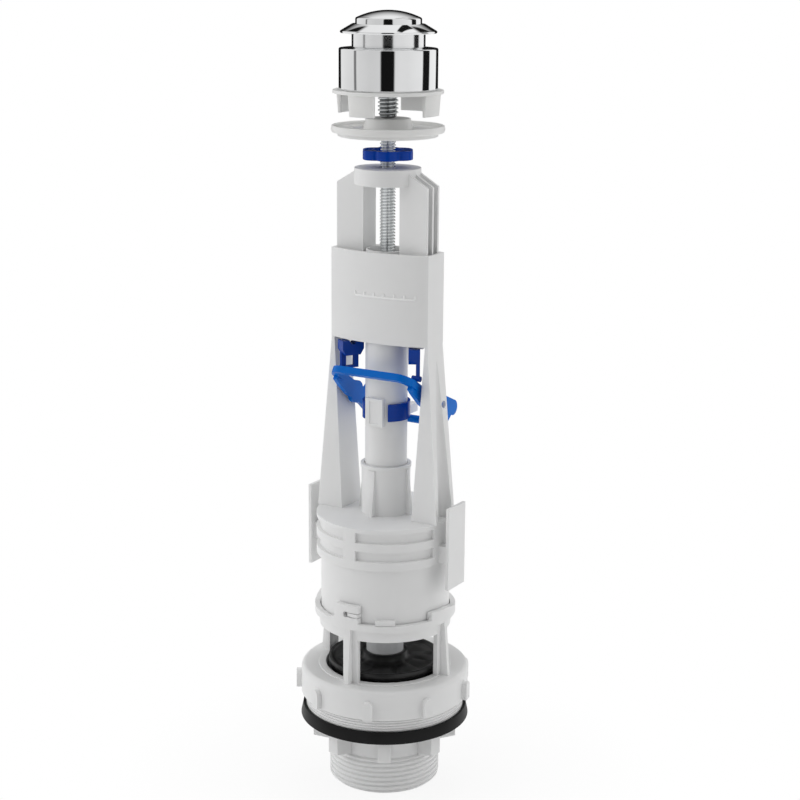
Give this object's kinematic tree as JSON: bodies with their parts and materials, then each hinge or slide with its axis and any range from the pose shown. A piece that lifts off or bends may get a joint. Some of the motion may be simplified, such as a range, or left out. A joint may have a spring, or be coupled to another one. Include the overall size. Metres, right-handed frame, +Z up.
{
  "type": "toilet flush valve",
  "caption": "Lever-lift flush valve for a toilet cistern: threaded outlet and seat, caged drum, overflow tube, lifting lever, adjustable push rod and chrome lid button.",
  "frame": {"origin": "centre of the outlet tail's lower end", "axes": "+Z up along the overflow tube, X through the two legs, -Y to the lever's front bar"},
  "size_m": [0.0952, 0.0938, 0.4109],
  "materials": {
    "white_plastic": "off-white moulded plastic, fine matt",
    "grey_plastic": "light grey moulded plastic, fine matt",
    "lever_blue": "mid blue moulded plastic, soft gloss",
    "wheel_blue": "royal blue moulded plastic, soft gloss",
    "link_blue": "dark blue moulded plastic, soft gloss",
    "black_rubber": "black moulded rubber, matt",
    "chrome": "bright chrome plating",
    "zinc_steel": "zinc-plated threaded steel",
    "spring_steel": "stainless spring wire"
  },
  "bodies": {
    "frame": {"outlet_seat": "white_plastic", "cistern_gasket": "black_rubber", "cage": "white_plastic", "drum": "white_plastic", "upper_frame": "white_plastic", "bezel": "chrome", "collar_nut": "chrome", "claw_ring": "white_plastic", "button_spring": "spring_steel"},
    "button": {"button_cap": "chrome", "button_screw": "zinc_steel"},
    "press": {"press_disc": "white_plastic", "push_rod": "zinc_steel", "carriage": "white_plastic", "push_link_left": "link_blue", "push_link_right": "link_blue"},
    "wheel": {"lock_wheel": "wheel_blue"},
    "lever": {"lift_lever": "lever_blue"},
    "lift": {"overflow_tube": "white_plastic", "inner_tube": "grey_plastic", "tube_clip": "link_blue", "float": "white_plastic", "valve_disc": "black_rubber", "flush_seal": "black_rubber"}
  },
  "joints": [
    {"name": "button_press", "type": "slide", "parent": "frame", "child": "button", "axis": [0, 0, -1], "range_m": [0, 0.007], "stiffness_N_per_m": 300, "springref_m": -0.004, "deforming": ["button_spring"]},
    {"name": "carriage_press", "type": "slide", "parent": "frame", "child": "press", "axis": [0, 0, -1], "range_m": [0, 0.007]},
    {"name": "lever_tilt", "type": "hinge", "parent": "frame", "child": "lever", "pos_m": [0, 0.0052, 0.2115], "axis": [1, 0, 0], "range_deg": [0, 26]},
    {"name": "tube_lift", "type": "slide", "parent": "frame", "child": "lift", "axis": [0, 0, 1], "range_m": [0, 0.0084]},
    {"name": "wheel_turn", "type": "hinge", "parent": "press", "child": "wheel", "pos_m": [0, 0, 0.3393], "axis": [0, 0, 1], "range_deg": [-180, 180]}
  ],
  "couplings": [
    {"joint": "carriage_press", "follows": "button_press", "ratio": 1},
    {"joint": "lever_tilt", "follows": "button_press", "rad_per_m": 64.8},
    {"joint": "tube_lift", "follows": "button_press", "ratio": 1.2}
  ]
}
